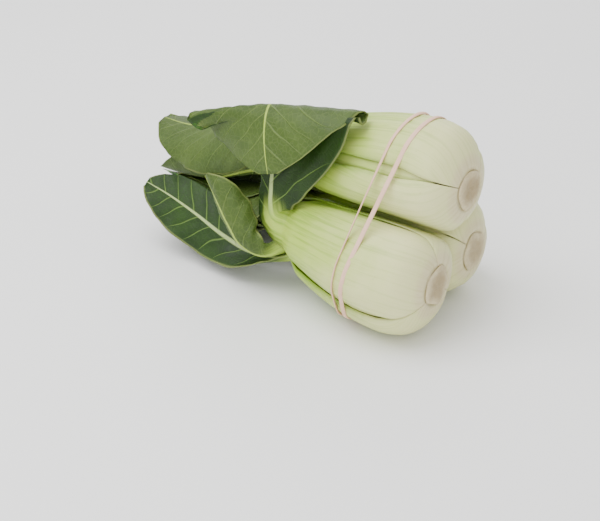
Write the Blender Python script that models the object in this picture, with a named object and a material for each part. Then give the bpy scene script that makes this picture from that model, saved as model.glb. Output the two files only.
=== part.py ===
"""A tied bundle of three heads of green-stem bok choy, lying on its side.

The bundle lies along X, with the butts at +X and the leaf tips at -X. Head B is at the front (-Y) and
head C at the back (+Y), both on the surface, and head A lies on top of them. Design sizes are in
millimetres and are turned into metres when a mesh is made.
"""

import math

import bmesh
import bpy
import numpy as np
from mathutils import Matrix

MM = 0.001

# Driving dimensions, in millimetres and degrees.
LEAF_GAP = 0.9                 # clear space between one leaf layer and the next
HEAD_GAP = 0.45                # half the clear space between two pressed heads
CREASE = 0.08                  # how far a stalk's outer face falls away at its edges, as a share
STALK_COLUMNS = 9              # points across a leaf
HEART_COLUMNS = 7              # points across an inner leaf
BLADE_EDGE = 0.7               # thickness of a blade
STALK_TOP = 98.0               # distance from the butt at which a stalk has become a blade
BLEND_FROM = 78.0              # distance from the butt at which the blades start to sort into layers

# Stations along a stalk, as distances from the cut butt.
STATIONS = (0.0, 2.0, 5.0, 9.0, 17.0, 30.0, 46.0, 62.0, 78.0, 88.0, STALK_TOP)
RING_START = (0, 3, 4)         # first station of each ring of stalks, outer ring first
BLADE_STEPS = (0.1, 0.23, 0.38, 0.54, 0.7, 0.84, 0.95, 1.0)

# Profiles along the head: distance from the butt, then the value.
HEAD_RADIUS = ((0, 14.0), (2, 20.0), (5, 25.2), (9, 28.8), (17, 31.6), (30, 32.3), (46, 31.0), (62, 28.0),
               (78, 24.2), (88, 22.0), (98, 20.8), (130, 20.5))
CORE_RADIUS = ((-1.2, 8.0), (0, 8.8), (4, 9.2), (9, 8.6), (17, 6.4), (30, 4.6), (44, 2.0))
STALK_THICKNESS = (
    ((0, 5.0), (5, 8.0), (17, 9.4), (46, 8.4), (70, 5.8), (88, 3.6), (98, 2.6), (130, 1.6)),
    ((0, 4.0), (9, 6.0), (17, 7.2), (46, 6.4), (70, 4.6), (88, 2.9), (98, 2.0), (130, 1.2)),
    ((0, 4.0), (17, 5.6), (46, 5.0), (70, 3.8), (88, 2.4), (98, 1.6), (130, 1.0)),
)
EDGE_THICKNESS = ((0, 3.6), (5, 2.4), (12, 1.6), (30, 1.6), (78, 1.2), (98, 1.0), (130, 1.0))
HALF_SPAN = (
    ((0, 54), (50, 54), (78, 50), (98, 46)),
    ((0, 50), (50, 50), (78, 46), (98, 42)),
    ((0, 76), (50, 76), (78, 70), (98, 62)),
)
BLADE_OUTLINE = ((0.0, 0.0), (0.12, 0.30), (0.3, 0.80), (0.5, 1.0), (0.7, 0.95), (0.85, 0.74),
                 (0.95, 0.45), (1.0, 0.16))

# Each head: where its butt is on X, its size, the angle of its first stalk, a turn for its rumples, the
# radius of its outermost rolled blade, how far the roll opens at the tips, the step from one rolled blade
# to the next one in, and its axis as (x, y, z). Angles turn round the axis, from the front (0) over the
# top (90) to the back (180).
HEADS = {
    "a": {
        "butt": 103.0, "size": 0.96, "first": 85.0, "turn": 0.3, "roll": 16.2, "flare": 6.0, "apart": 2.15,
        "axis": ((-110, 18, 34), (-90, 17, 37), (-70, 15, 43), (-50, 11, 51), (-30, 7, 60),
                 (0, 3, 69), (20, 2, 71.5), (70, 1, 74.5), (106, 1, 74.5)),
    },
    "b": {
        "butt": 102.0, "size": 0.97, "first": 33.0, "turn": 1.9, "roll": 14.4, "flare": 5.0, "apart": 2.6,
        "axis": ((-115, 8, 18.5), (-95, 8, 18.5), (-60, 7, 19.5), (-36, 4, 23.5), (-16, -6, 31),
                 (0, -14, 34.5), (20, -19, 34), (70, -25, 31.4), (106, -26, 31.4)),
    },
    "c": {
        "butt": 95.0, "size": 0.90, "first": 100.0, "turn": 4.1, "roll": 14.7, "flare": 3.0, "apart": 2.1,
        "axis": ((-110, 41, 22), (-90, 40, 22), (-60, 37.5, 22.5), (-30, 29, 27),
                 (0, 22, 29.5), (20, 22, 29.5), (70, 24, 28), (106, 24, 28)),
    },
}

# The leaves of each head, outer ring first: ring, angle from the head's first stalk, the tip's
# distance from the butt, and the blade's half width. A loose leaf leaves the roll and has a path.
LEAVES = {
    "a": (
        (0, 0, 209, 29), (0, 120, 0, 26), (0, 240, 202, 26), (1, 60, 204, 24),
        (1, 180, 188, 21), (1, 300, 184, 20), (2, 30, 178, 16), (2, 210, 168, 12),
    ),
    "b": (
        (0, 0, 0, 50), (0, 120, 212, 25), (0, 240, 0, 26), (1, 60, 188, 22),
        (1, 180, 190, 21), (1, 300, 0, 17), (2, 30, 176, 17), (2, 210, 166, 13),
    ),
    "c": (
        (0, 0, 198, 27), (0, 120, 0, 24), (0, 240, 192, 25), (1, 60, 194, 23),
        (1, 180, 186, 21), (1, 300, 178, 19), (2, 30, 166, 16), (2, 210, 158, 12),
    ),
}

# Loose blades: the midrib's points from the stalk's top to the tip, each with the way that the
# outer face looks there, and (share of the length, width share low side, high side, cup in degrees).
LOOSE = {
    "head_b_leaf_1": {
        "path": (
            ((8, -34, 46.5), (0, -0.95, 0.3)), ((5.5, -33, 54), (-0.1, -1, 0.15)),
            ((5, -31.5, 62), (-0.12, -1, 0.12)), ((4, -29, 71.5), (-0.14, -0.97, 0.2)),
            ((2, -25.5, 82), (-0.12, -0.95, 0.28)), ((-1, -21.5, 92), (-0.08, -0.9, 0.35)),
            ((-2.5, -19, 98.5), (0.1, -0.75, 0)), ((-2.5, -22, 103), (0.2, -0.2, -1)),
            ((-0.5, -28, 101), (0.18, 0.5, -0.86)), ((2, -33.5, 93), (0.15, 0.85, -0.5)),
            ((5, -37, 83), (0.15, 0.93, -0.35)), ((8, -39, 73), (0.15, 0.95, -0.3)),
        ),
        "shape": ((0, 0.3, 0.3, 44), (0.08, 0.2, 0.24, 20), (0.2, 0.18, 0.4, 10),
                  (0.33, 0.22, 0.72, 4), (0.45, 0.45, 0.95, 2), (0.55, 0.82, 1.05, -8),
                  (0.63, 0.96, 1.08, -18), (0.74, 0.88, 0.95, -20), (0.85, 0.64, 0.7, -16),
                  (0.94, 0.38, 0.42, -10), (1, 0.12, 0.12, 0)),
    },
    "head_b_leaf_3": {
        "path": (
            ((0, -21, 13.6), (0, -0.1, -1)), ((-16, -23.5, 14), (0, 0.4, -0.9)),
            ((-33, -23.5, 18.5), (0, 0.78, -0.62)), ((-56, -20.5, 25), (0, 0.78, -0.62)),
            ((-76, -18.5, 30), (0, 0.75, -0.66)), ((-92, -17.5, 33), (0, 0.7, -0.7)),
        ),
        "shape": ((0, 0.62, 0.62, 44), (0.14, 0.34, 0.46, 30), (0.3, 0.26, 0.5, 8),
                  (0.45, 0.46, 0.6, -6), (0.6, 0.58, 0.66, -10), (0.75, 0.56, 0.64, -8),
                  (0.88, 0.44, 0.5, -2), (0.96, 0.28, 0.3, 0), (1, 0.12, 0.12, 0)),
    },
    "head_b_leaf_6": {
        "path": (
            ((3, -39, 24.6), (0, -0.8, -0.6)), ((-7, -43.5, 30), (0.1, -0.7, -0.7)),
            ((-15, -44.5, 41), (0.3, -0.6, -0.7)), ((-23, -43, 52), (0.4, -0.5, -0.7)),
            ((-32, -40, 62), (0.4, -0.5, -0.7)),
        ),
        "shape": ((0, 0.62, 0.45, 40), (0.15, 0.5, 0.4, 60), (0.3, 0.7, 0.7, 95),
                  (0.55, 1, 1, 110), (0.78, 0.95, 0.95, 100), (0.92, 0.6, 0.6, 80), (1, 0.2, 0.2, 40)),
    },
    "head_a_leaf_2": {
        "path": (
            ((0, 26, 61), (0, 0.95, -0.1)), ((-16, 38, 57), (0, 0.95, 0.3)),
            ((-35, 49, 48), (0, 0.85, 0.5)), ((-55, 58, 36), (0, 0.85, 0.5)),
            ((-72, 64, 23), (-0.3, 0.85, 0.4)), ((-84, 66, 13), (-0.4, 0.8, 0.3)),
        ),
        "shape": ((0, 0.6, 0.6, 40), (0.15, 0.4, 0.4, 26), (0.35, 0.78, 0.78, 24),
                  (0.55, 1, 1, 28), (0.75, 0.9, 0.9, 26), (0.9, 0.55, 0.55, 20), (1, 0.18, 0.18, 0)),
    },
    "head_c_leaf_2": {
        "path": (
            ((-8, 37, 12), (0, 0.5, -0.85)), ((-25, 41, 6), (0, 0.2, -0.97)),
            ((-50, 44, 1.8), (0, 0, -1)), ((-80, 44, 0.8), (0, 0, -1)),
            ((-104, 40, 1.2), (0, 0, -1)),
        ),
        "shape": ((0, 0.65, 0.65, 44), (0.16, 0.55, 0.55, 26), (0.35, 0.85, 0.85, 6),
                  (0.58, 1, 1, 4), (0.78, 0.9, 0.9, 4), (0.92, 0.55, 0.55, 4), (1, 0.18, 0.18, 0)),
    },
}

# The rubber band: a flat strip that goes round the bundle twice.
BAND_WIDTH = 2.6
BAND_THICKNESS = 1.0
BAND_CLEARANCE = 1.2
BAND_STEPS = 104               # sections round the whole closed loop, two turns
BAND_FOOT_X = 56.0             # X of the band at the surface
BAND_LEAN = 0.17               # how far it moves to +X for each unit of height
BAND_SPREAD = 4.6              # how far each turn stands from the middle line on top of the bundle
BAND_CLOSEST = 1.9             # and just above the surface
BAND_OVER = 1.5                # how far one turn rides over the other where they cross below

STALK_COLOUR = (0.62, 0.70, 0.36, 1.0)
HEART_COLOUR = (0.70, 0.74, 0.42, 1.0)
CORE_COLOUR = (0.62, 0.56, 0.40, 1.0)
BAND_COLOUR = (0.72, 0.50, 0.40, 1.0)


def smooth(keys, at):
    """Reads a smooth curve through keys, each (position, value, ...), at one or more positions."""
    knots = np.array([key[0] for key in keys], float)
    values = np.array([key[1:] for key in keys], float)
    slopes = np.gradient(values, knots, axis=0)
    place = np.clip(np.atleast_1d(np.asarray(at, float)), knots[0], knots[-1])
    index = np.clip(np.searchsorted(knots, place) - 1, 0, len(knots) - 2)
    span = (knots[index + 1] - knots[index])[:, None]
    t = (place - knots[index])[:, None] / span
    before = (2 * t ** 3 - 3 * t ** 2 + 1) * values[index] + (t ** 3 - 2 * t ** 2 + t) * span * slopes[index]
    after = (3 * t ** 2 - 2 * t ** 3) * values[index + 1] + (t ** 3 - t ** 2) * span * slopes[index + 1]
    return before + after


def value(keys, at):
    """Reads one number from a profile."""
    return float(smooth(keys, at)[0, 0])


def ease(share):
    """Goes from 0 to 1 with soft ends."""
    t = min(max(share, 0.0), 1.0)
    return t * t * (3 - 2 * t)


def unit(vector):
    return vector / np.linalg.norm(vector)


def axis_point(head, x):
    """The head's axis in the plane at x, as (y, z)."""
    return smooth(HEADS[head]["axis"], x)[0]


def head_radius(head, distance):
    return value(HEAD_RADIUS, distance) * HEADS[head]["size"]


def outward(angle):
    """Unit vectors in the (y, z) plane at an angle or angles in radians: front, top, back."""
    return np.stack([-np.cos(angle), np.sin(angle)], axis=-1)


def pressed(head, x, offsets):
    """Presses points round a head's axis flat where they meet another head or the surface."""
    centre = axis_point(head, x)
    result = offsets.copy()
    limits = []
    own = HEADS[head]["size"]
    for other in HEADS:
        if other != head:
            between = axis_point(other, x) - centre
            distance = np.linalg.norm(between)
            share = own / (own + HEADS[other]["size"])
            limits.append((between / distance, distance * share - HEAD_GAP, 0.6))
    limits.append((np.array([0.0, -1.0]), centre[1] - 0.02, 0.86))
    for direction, limit, free_share in limits:
        reach = result @ direction
        free = limit * free_share
        room = limit - free
        squeezed = free + room * np.tanh((reach - free) / room)
        moved = np.where(reach > free, squeezed - reach, 0.0)
        result = result + moved[..., None] * direction
    return centre + result


def nearest_turn(angle, middles):
    """The angle in radians to the nearest of the middles, given in degrees."""
    gaps = [np.abs((angle - math.radians(m) + math.pi) % (2 * math.pi) - math.pi) for m in middles]
    return np.min(gaps, axis=0)


def ring_middles(head, ring):
    return [HEADS[head]["first"] + leaf[1] for leaf in LEAVES[head] if leaf[0] == ring]


def stalk_radii(head, ring, distance, angle):
    """Outer and inner radius of a ring of stalks, at angles round the head."""
    floor = value(CORE_RADIUS, min(distance, 44.0)) + LEAF_GAP
    outer = None
    for layer in range(ring + 1):
        span = math.radians(value(HALF_SPAN[layer], distance))
        across = np.clip(nearest_turn(angle, ring_middles(head, layer)) / span, 0, 1)
        if layer == 0:
            outer = head_radius(head, distance) * (1 - CREASE * across ** 4)
        thickness = value(STALK_THICKNESS[layer], distance) * (1 - across ** 2.2)
        thickness = thickness + value(EDGE_THICKNESS, distance)
        inner = np.maximum(outer - thickness, floor)
        if layer < ring:
            outer = inner - LEAF_GAP
    return outer, inner


def rumple(head, distance, angle):
    """How far the rolled blades swell or sink, the same for every layer of a head."""
    turn = HEADS[head]["turn"]
    strength = ease((distance - 92) / 40)
    waves = 0.06 * np.sin(2 * angle + 0.045 * distance + turn)
    waves = waves + 0.045 * np.sin(3 * angle - 0.07 * distance + 2 * turn)
    return 1 + strength * waves


def rolled_row(head, leaf, layer, distance, columns):
    """Outer and inner points across a leaf of the roll, at one distance from the butt."""
    ring, turn, tip, half_width = leaf
    across = np.linspace(-1, 1, columns)
    sorted_share = ease((distance - BLEND_FROM) / (STALK_TOP - BLEND_FROM))
    opening = ease((distance - 120) / 90)
    flare = HEADS[head]["flare"] * (1 - 0.13 * layer) * opening
    blade_radius = HEADS[head]["roll"] - HEADS[head]["apart"] * layer + flare
    span = math.radians(value(HALF_SPAN[ring], distance))
    if distance > STALK_TOP:
        along = (distance - STALK_TOP) / (tip - STALK_TOP)
        neck = span * blade_radius * (1 - along) ** 2
        span = min((neck + half_width * value(BLADE_OUTLINE, along)) / blade_radius, 2.75)
    angle = math.radians(HEADS[head]["first"] + turn) + across * span
    outer, inner = stalk_radii(head, ring, distance, angle)
    rib = max(value(STALK_THICKNESS[ring], distance) * 0.5, 0.4)
    blade_half = 0.5 * (BLADE_EDGE + rib * (1 - np.abs(across)) ** 4)
    outer = (1 - sorted_share) * outer + sorted_share * (blade_radius + blade_half)
    inner = (1 - sorted_share) * inner + sorted_share * (blade_radius - blade_half)
    swell = rumple(head, distance, angle)
    x = HEADS[head]["butt"] - distance
    rows = []
    for radius in (outer, inner):
        points = pressed(head, x, outward(angle) * (radius * swell)[:, None])
        rows.append(np.column_stack([np.full(columns, x), points]))
    return rows


def loose_rows(name, last_outer, last_inner, half_width, columns):
    """Rows of a loose blade that goes on from the stalk's last row along its own path."""
    data = LOOSE[name]
    start = 0.5 * (last_outer[columns // 2] + last_inner[columns // 2])
    facing = unit(last_outer[columns // 2] - last_inner[columns // 2])
    points = np.vstack([[start]] + [[p] for p, _ in data["path"]])
    faces = np.vstack([[facing]] + [[unit(np.array(f, float))] for _, f in data["path"]])
    steps = np.concatenate([[0], np.cumsum(np.linalg.norm(np.diff(points, axis=0), axis=1))])
    share = steps / steps[-1]
    keys = [(s, *p, *f) for s, p, f in zip(share, points, faces)]
    count = max(10, int(round(steps[-1] / 8.5)))
    places = np.linspace(0, 1, count + 1)
    line = smooth(keys, places)
    ahead = smooth(keys, np.clip(places + 0.01, 0, 1))[:, :3]
    tangents = ahead - smooth(keys, np.clip(places - 0.01, 0, 1))[:, :3]
    shape = smooth(data["shape"], places)
    across = np.linspace(-1, 1, columns)
    outer_rows = []
    inner_rows = []
    slack_outer = 0.0
    slack_inner = 0.0
    for i, place in enumerate(places):
        along = np.array([-1.0, 0.0, 0.0]) if i == 0 else unit(tangents[i])
        side = unit(np.cross(along, line[i, 3:]))
        face = np.cross(side, along)
        low, high, cup = shape[i]
        width = np.where(across < 0, low, high) * half_width
        bend = math.radians(cup if abs(cup) > 0.5 else 0.5)
        middle = line[i, :3] + np.outer(width * np.sin(across * bend) / bend, side)
        middle = middle - np.outer(width * (1 - np.cos(across * bend)) / bend, face)
        normal = np.outer(np.cos(across * bend), face) + np.outer(np.sin(across * bend), side)
        rib = max(2.6 * (1 - place * 1.5), 0.4)
        half = 0.5 * (BLADE_EDGE + rib * (1 - np.abs(across)) ** 4)
        outer = middle + normal * half[:, None]
        inner = middle - normal * half[:, None]
        if i == 0:
            slack_outer = last_outer - outer
            slack_inner = last_inner - inner
            continue
        fade = 1 - ease(place / 0.16)
        outer_rows.append(outer + slack_outer * fade)
        inner_rows.append(inner + slack_inner * fade)
    return outer_rows, inner_rows


def leaf_rows(head, number, layer):
    """All the rows of one leaf: two lists, outer and inner."""
    leaf = LEAVES[head][number - 1]
    ring, _, tip, half_width = leaf
    columns = HEART_COLUMNS if ring == 2 else STALK_COLUMNS
    outer_rows = []
    inner_rows = []
    loose = tip == 0
    stations = list(STATIONS[RING_START[ring]:])
    if loose:
        stations = [s for s in stations if s <= 88]
    else:
        stations += [STALK_TOP + step * (tip - STALK_TOP) for step in BLADE_STEPS]
    for distance in stations:
        outer, inner = rolled_row(head, leaf, layer, distance, columns)
        outer_rows.append(outer)
        inner_rows.append(inner)
    if loose:
        name = f"head_{head}_leaf_{number}"
        more = loose_rows(name, outer_rows[-1], inner_rows[-1], half_width, columns)
        outer_rows += more[0]
        inner_rows += more[1]
    return outer_rows, inner_rows


def material(name, colour, roughness):
    shader = bpy.data.materials.new(name)
    shader.use_nodes = True
    principled = shader.node_tree.nodes["Principled BSDF"]
    principled.inputs["Base Color"].default_value = colour
    principled.inputs["Roughness"].default_value = roughness
    principled.inputs["Metallic"].default_value = 0.0
    return shader


def add_object(name, vertices, faces, shader):
    """Makes an object from points in millimetres."""
    mesh = bpy.data.meshes.new(name)
    mesh.from_pydata([tuple(v) for v in np.asarray(vertices) * MM], [], faces)
    solid = bmesh.new()
    solid.from_mesh(mesh)
    bmesh.ops.recalc_face_normals(solid, faces=solid.faces)
    if solid.calc_volume(signed=True) < 0:
        bmesh.ops.reverse_faces(solid, faces=solid.faces)
    bmesh.ops.triangulate(solid, faces=solid.faces)
    solid.to_mesh(mesh)
    solid.free()
    mesh.shade_smooth()
    mesh.materials.append(shader)
    thing = bpy.data.objects.new(name, mesh)
    bpy.context.collection.objects.link(thing)
    return thing


def add_leaf(name, outer_rows, inner_rows, shader):
    """Joins the outer and the inner sheet of a leaf round their rim."""
    rows = len(outer_rows)
    columns = len(outer_rows[0])
    vertices = np.vstack(outer_rows + inner_rows)
    under = rows * columns
    faces = []
    for r in range(rows - 1):
        for c in range(columns - 1):
            a = r * columns + c
            b = a + 1
            d = a + columns
            e = d + 1
            faces.append((a, b, e, d))
            faces.append((under + a, under + d, under + e, under + b))
    rim = [c for c in range(columns)]
    rim += [r * columns + columns - 1 for r in range(1, rows)]
    rim += [(rows - 1) * columns + c for c in range(columns - 2, -1, -1)]
    rim += [r * columns for r in range(rows - 2, 0, -1)]
    for here, there in zip(rim, rim[1:] + rim[:1]):
        faces.append((there, here, under + here, under + there))
    return add_object(name, vertices, faces, shader)


def add_core(head, shader):
    """The cut stem and the heart bud: a turned solid on the head's axis."""
    sides = 14
    angle = np.arange(sides) * 2 * math.pi / sides
    vertices = []
    for distance, radius in CORE_RADIUS:
        x = HEADS[head]["butt"] - distance
        ring = axis_point(head, x) + outward(angle) * radius
        vertices.append(np.column_stack([np.full(sides, x), ring]))
    last = len(vertices) - 1
    faces = [tuple(range(sides)), tuple(last * sides + i for i in range(sides - 1, -1, -1))]
    for r in range(last):
        for i in range(sides):
            j = (i + 1) % sides
            a = r * sides
            faces.append((a + i, a + sides + i, a + sides + j, a + j))
    return add_object(f"head_{head}_core", np.vstack(vertices), faces, shader)


def hull(points):
    """The convex outline of (y, z) points, anticlockwise."""
    ordered = sorted(map(tuple, points))
    chains = []
    for sequence in (ordered, ordered[::-1]):
        chain = []
        for p in sequence:
            while len(chain) > 1:
                (ax, ay), (bx, by) = chain[-2], chain[-1]
                if (bx - ax) * (p[1] - ay) - (by - ay) * (p[0] - ax) > 0:
                    break
                chain.pop()
            chain.append(p)
        chains.append(chain[:-1])
    return np.array(chains[0] + chains[1])


def band_outline(shift):
    """Outline of the bundle in the band's leaning plane, moved along X, as points by direction."""
    points = []
    angles = np.linspace(0, 2 * math.pi, 72, endpoint=False)
    for head in HEADS:
        for angle in angles:
            x = BAND_FOOT_X + shift + BAND_LEAN * axis_point(head, 50)[1]
            for _ in range(4):
                distance = HEADS[head]["butt"] - x
                radius = np.array([stalk_radii(head, 0, distance, np.array([angle]))[0][0]])
                place = pressed(head, x, outward(np.array([angle])) * radius[:, None])[0]
                x = BAND_FOOT_X + shift + BAND_LEAN * place[1]
            points.append(place)
    return hull(np.array(points))


def band_point(outline, direction, clearance):
    """The outline's furthest place in a direction, rounded a little and moved out."""
    total = np.zeros(2)
    turns = np.linspace(-0.16, 0.16, 9)
    for turn in turns:
        c, s = math.cos(turn), math.sin(turn)
        d = np.array([direction[0] * c - direction[1] * s, direction[0] * s + direction[1] * c])
        reach = outline @ d
        near = np.exp((reach - reach.max()) / 0.35)
        total = total + (outline * near[:, None]).sum(axis=0) / near.sum() + d * clearance
    return total / len(turns)


def outline_at(outline, share, clearance):
    """A point at a share of the way round an outline, with its outward direction."""
    closed = np.vstack([outline, outline[:1]])
    lengths = np.concatenate([[0], np.cumsum(np.linalg.norm(np.diff(closed, axis=0), axis=1))])
    place = (share % 1.0) * lengths[-1]
    point = np.array([np.interp(place, lengths, closed[:, k]) for k in (0, 1)])
    reach = 2.5
    ahead = np.array([np.interp((place + reach) % lengths[-1], lengths, closed[:, k]) for k in (0, 1)])
    behind = np.array([np.interp((place - reach) % lengths[-1], lengths, closed[:, k]) for k in (0, 1)])
    along = unit(ahead - behind)
    out = np.array([along[1], -along[0]])
    return point + out * clearance, out


def widened(outline, clearance):
    """The outline moved outwards and rounded, starting below the bundle."""
    angles = np.linspace(-math.pi / 2, 1.5 * math.pi, 181)[:-1]
    moved = []
    for angle in angles:
        moved.append(band_point(outline, np.array([math.cos(angle), math.sin(angle)]), clearance))
    return np.array(moved)


def add_band(shader):
    """One flat closed strip that goes round the bundle twice and crosses itself below the bundle."""
    turns = {}
    for side in (1, -1):
        turns[side] = widened(band_outline(side * 0.5 * BAND_SPREAD), BAND_CLEARANCE)
    vertices = []
    half_width = BAND_WIDTH / 2
    for i in range(BAND_STEPS):
        share = 2.0 * i / BAND_STEPS
        place = share % 1.0
        first_turn = share < 1.0
        # The turns swap sides below the bundle, where one passes over the other.
        front = math.sin(math.pi * place) ** 2
        side = 1 if first_turn else -1
        cross = ease(min(place, 1 - place) / 0.06)
        apart = (BAND_CLOSEST + (BAND_SPREAD - BAND_CLOSEST) * front) * side * cross
        over = share > 1.5 or share < 0.5
        ride = (1 - cross) * BAND_OVER if over else 0.0
        point, out = outline_at(turns[side], 1.0 - place, ride)
        x = BAND_FOOT_X + BAND_LEAN * point[1] + apart
        centre = np.array([x, point[0], point[1]])
        radial = np.array([0.0, out[0], out[1]])
        width_way = np.array([1.0, 0.0, 0.0])
        for w, t in ((-1, 0), (1, 0), (1, 1), (-1, 1)):
            vertices.append(centre + width_way * w * half_width + radial * t * BAND_THICKNESS)
    faces = []
    for i in range(BAND_STEPS):
        j = (i + 1) % BAND_STEPS
        for k in range(4):
            m = (k + 1) % 4
            faces.append((4 * i + k, 4 * i + m, 4 * j + m, 4 * j + k))
    return add_object("rubber_band", vertices, faces, shader)


def rest_on_surface():
    """Puts the middle of the whole bundle's footprint at the origin and its lowest point at z = 0."""
    meshes = [thing.data for thing in bpy.data.objects]
    corners = np.array([tuple(v.co) for mesh in meshes for v in mesh.vertices])
    low, high = corners.min(axis=0), corners.max(axis=0)
    move = Matrix.Translation((-(low[0] + high[0]) / 2, -(low[1] + high[1]) / 2, -low[2]))
    for mesh in meshes:
        mesh.transform(move)


def main():
    for thing in list(bpy.data.objects):
        bpy.data.objects.remove(thing)
    stalk = material("stalk", STALK_COLOUR, 0.45)
    heart = material("heart", HEART_COLOUR, 0.5)
    core = material("core", CORE_COLOUR, 0.8)
    rubber = material("rubber", BAND_COLOUR, 0.6)
    for head in HEADS:
        add_core(head, core)
        layer = 0
        for number, leaf in enumerate(LEAVES[head], start=1):
            outer_rows, inner_rows = leaf_rows(head, number, layer)
            shader = heart if leaf[0] == 2 else stalk
            add_leaf(f"head_{head}_leaf_{number}", outer_rows, inner_rows, shader)
            if leaf[2] > 0:
                layer += 1
    add_band(rubber)
    rest_on_surface()


main()
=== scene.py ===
"""Looks for a tied bundle of three heads of green-stem bok choy, lying on its side.

Every leaf is made again as a fine mesh on the same shapes as its solid, with its own ribs, veins and
rumpled margins. Design sizes are in millimetres; a piece is moved into place by where the cut stem of
the front head is in the frame.
"""

import math

import bpy
import numpy as np
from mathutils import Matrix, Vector


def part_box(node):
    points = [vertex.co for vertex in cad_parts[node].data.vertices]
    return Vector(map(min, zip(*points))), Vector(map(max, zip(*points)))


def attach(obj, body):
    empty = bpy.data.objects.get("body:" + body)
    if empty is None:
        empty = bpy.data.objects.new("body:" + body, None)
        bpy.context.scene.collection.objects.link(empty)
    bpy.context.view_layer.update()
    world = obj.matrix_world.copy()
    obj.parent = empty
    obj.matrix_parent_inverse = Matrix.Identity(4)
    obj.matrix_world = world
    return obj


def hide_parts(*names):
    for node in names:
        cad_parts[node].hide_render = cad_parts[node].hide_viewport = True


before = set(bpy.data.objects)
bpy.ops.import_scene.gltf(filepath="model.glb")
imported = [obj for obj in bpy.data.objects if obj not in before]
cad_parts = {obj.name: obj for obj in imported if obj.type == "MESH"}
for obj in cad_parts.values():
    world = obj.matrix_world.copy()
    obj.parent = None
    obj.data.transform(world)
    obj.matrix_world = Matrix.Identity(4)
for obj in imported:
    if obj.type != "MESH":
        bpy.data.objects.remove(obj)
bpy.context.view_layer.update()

MM = 0.001

# Driving dimensions, in millimetres and degrees.
LEAF_GAP = 0.9                 # clear space between one leaf layer and the next
HEAD_GAP = 0.45                # half the clear space between two pressed heads
CREASE = 0.08                  # how far a stalk's outer face falls away at its edges, as a share
BLADE_EDGE = 0.7               # thickness of a blade
STALK_TOP = 98.0               # distance from the butt at which a stalk has become a blade
BLEND_FROM = 78.0              # distance from the butt at which the blades start to sort into layers
LOOSE_FROM = 88.0              # distance from the butt at which a loose leaf leaves its head

# Stations along a stalk, as distances from the cut butt.
STATIONS = (0.0, 2.0, 5.0, 9.0, 17.0, 30.0, 46.0, 62.0, 78.0, 88.0, STALK_TOP)
RING_START = (0, 3, 4)         # first station of each ring of stalks, outer ring first

# Profiles along the head: distance from the butt, then the value.
HEAD_RADIUS = ((0, 14.0), (2, 20.0), (5, 25.2), (9, 28.8), (17, 31.6), (30, 32.3), (46, 31.0), (62, 28.0),
               (78, 24.2), (88, 22.0), (98, 20.8), (130, 20.5))
CORE_RADIUS = ((-1.2, 8.0), (0, 8.8), (4, 9.2), (9, 8.6), (17, 6.4), (30, 4.6), (44, 2.0))
STALK_THICKNESS = (
    ((0, 5.0), (5, 8.0), (17, 9.4), (46, 8.4), (70, 5.8), (88, 3.6), (98, 2.6), (130, 1.6)),
    ((0, 4.0), (9, 6.0), (17, 7.2), (46, 6.4), (70, 4.6), (88, 2.9), (98, 2.0), (130, 1.2)),
    ((0, 4.0), (17, 5.6), (46, 5.0), (70, 3.8), (88, 2.4), (98, 1.6), (130, 1.0)),
)
EDGE_THICKNESS = ((0, 3.6), (5, 2.4), (12, 1.6), (30, 1.6), (78, 1.2), (98, 1.0), (130, 1.0))
HALF_SPAN = (
    ((0, 59.4), (12, 58.4), (26, 54.5), (50, 54), (78, 50), (98, 46)),
    ((0, 50), (50, 50), (78, 46), (98, 42)),
    ((0, 76), (50, 76), (78, 70), (98, 62)),
)
BLADE_OUTLINE = ((0.0, 0.0), (0.12, 0.30), (0.3, 0.80), (0.5, 1.0), (0.7, 0.95), (0.85, 0.74),
                 (0.95, 0.45), (1.0, 0.16))

# Each head: where its butt is on X, its size, the angle of its first stalk, a turn for its rumples, the
# radius of its outermost rolled blade, how far the roll opens at the tips, the step from one rolled blade
# to the next one in, and its axis as (x, y, z). Angles turn round the axis, from the front (0) over the
# top (90) to the back (180).
HEADS = {
    "a": {
        "butt": 103.0, "size": 0.96, "first": 85.0, "turn": 0.3, "roll": 16.2, "flare": 6.0, "apart": 2.15,
        "axis": ((-110, 18, 34), (-90, 17, 37), (-70, 15, 43), (-50, 11, 51), (-30, 7, 60),
                 (0, 3, 69), (20, 2, 71.5), (70, 1, 74.5), (106, 1, 74.5)),
    },
    "b": {
        "butt": 102.0, "size": 0.97, "first": 33.0, "turn": 1.9, "roll": 14.4, "flare": 5.0, "apart": 2.6,
        "axis": ((-115, 8, 18.5), (-95, 8, 18.5), (-60, 7, 19.5), (-36, 4, 23.5), (-16, -6, 31),
                 (0, -14, 34.5), (20, -19, 34), (70, -25, 31.4), (106, -26, 31.4)),
    },
    "c": {
        "butt": 95.0, "size": 0.90, "first": 100.0, "turn": 4.1, "roll": 14.7, "flare": 3.0, "apart": 2.1,
        "axis": ((-110, 41, 22), (-90, 40, 22), (-60, 37.5, 22.5), (-30, 29, 27),
                 (0, 22, 29.5), (20, 22, 29.5), (70, 24, 28), (106, 24, 28)),
    },
}

# The leaves of each head, outer ring first: ring, angle from the head's first stalk, the tip's
# distance from the butt, and the blade's half width. A loose leaf leaves the roll and has a path.
LEAVES = {
    "a": (
        (0, 0, 209, 29), (0, 120, 0, 26), (0, 240, 202, 26), (1, 60, 204, 24),
        (1, 180, 188, 21), (1, 300, 184, 20), (2, 30, 178, 16), (2, 210, 168, 12),
    ),
    "b": (
        (0, 0, 0, 50), (0, 120, 212, 25), (0, 240, 0, 26), (1, 60, 188, 22),
        (1, 180, 190, 21), (1, 300, 0, 17), (2, 30, 176, 17), (2, 210, 166, 13),
    ),
    "c": (
        (0, 0, 198, 27), (0, 120, 0, 24), (0, 240, 192, 25), (1, 60, 194, 23),
        (1, 180, 186, 21), (1, 300, 178, 19), (2, 30, 166, 16), (2, 210, 158, 12),
    ),
}

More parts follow.
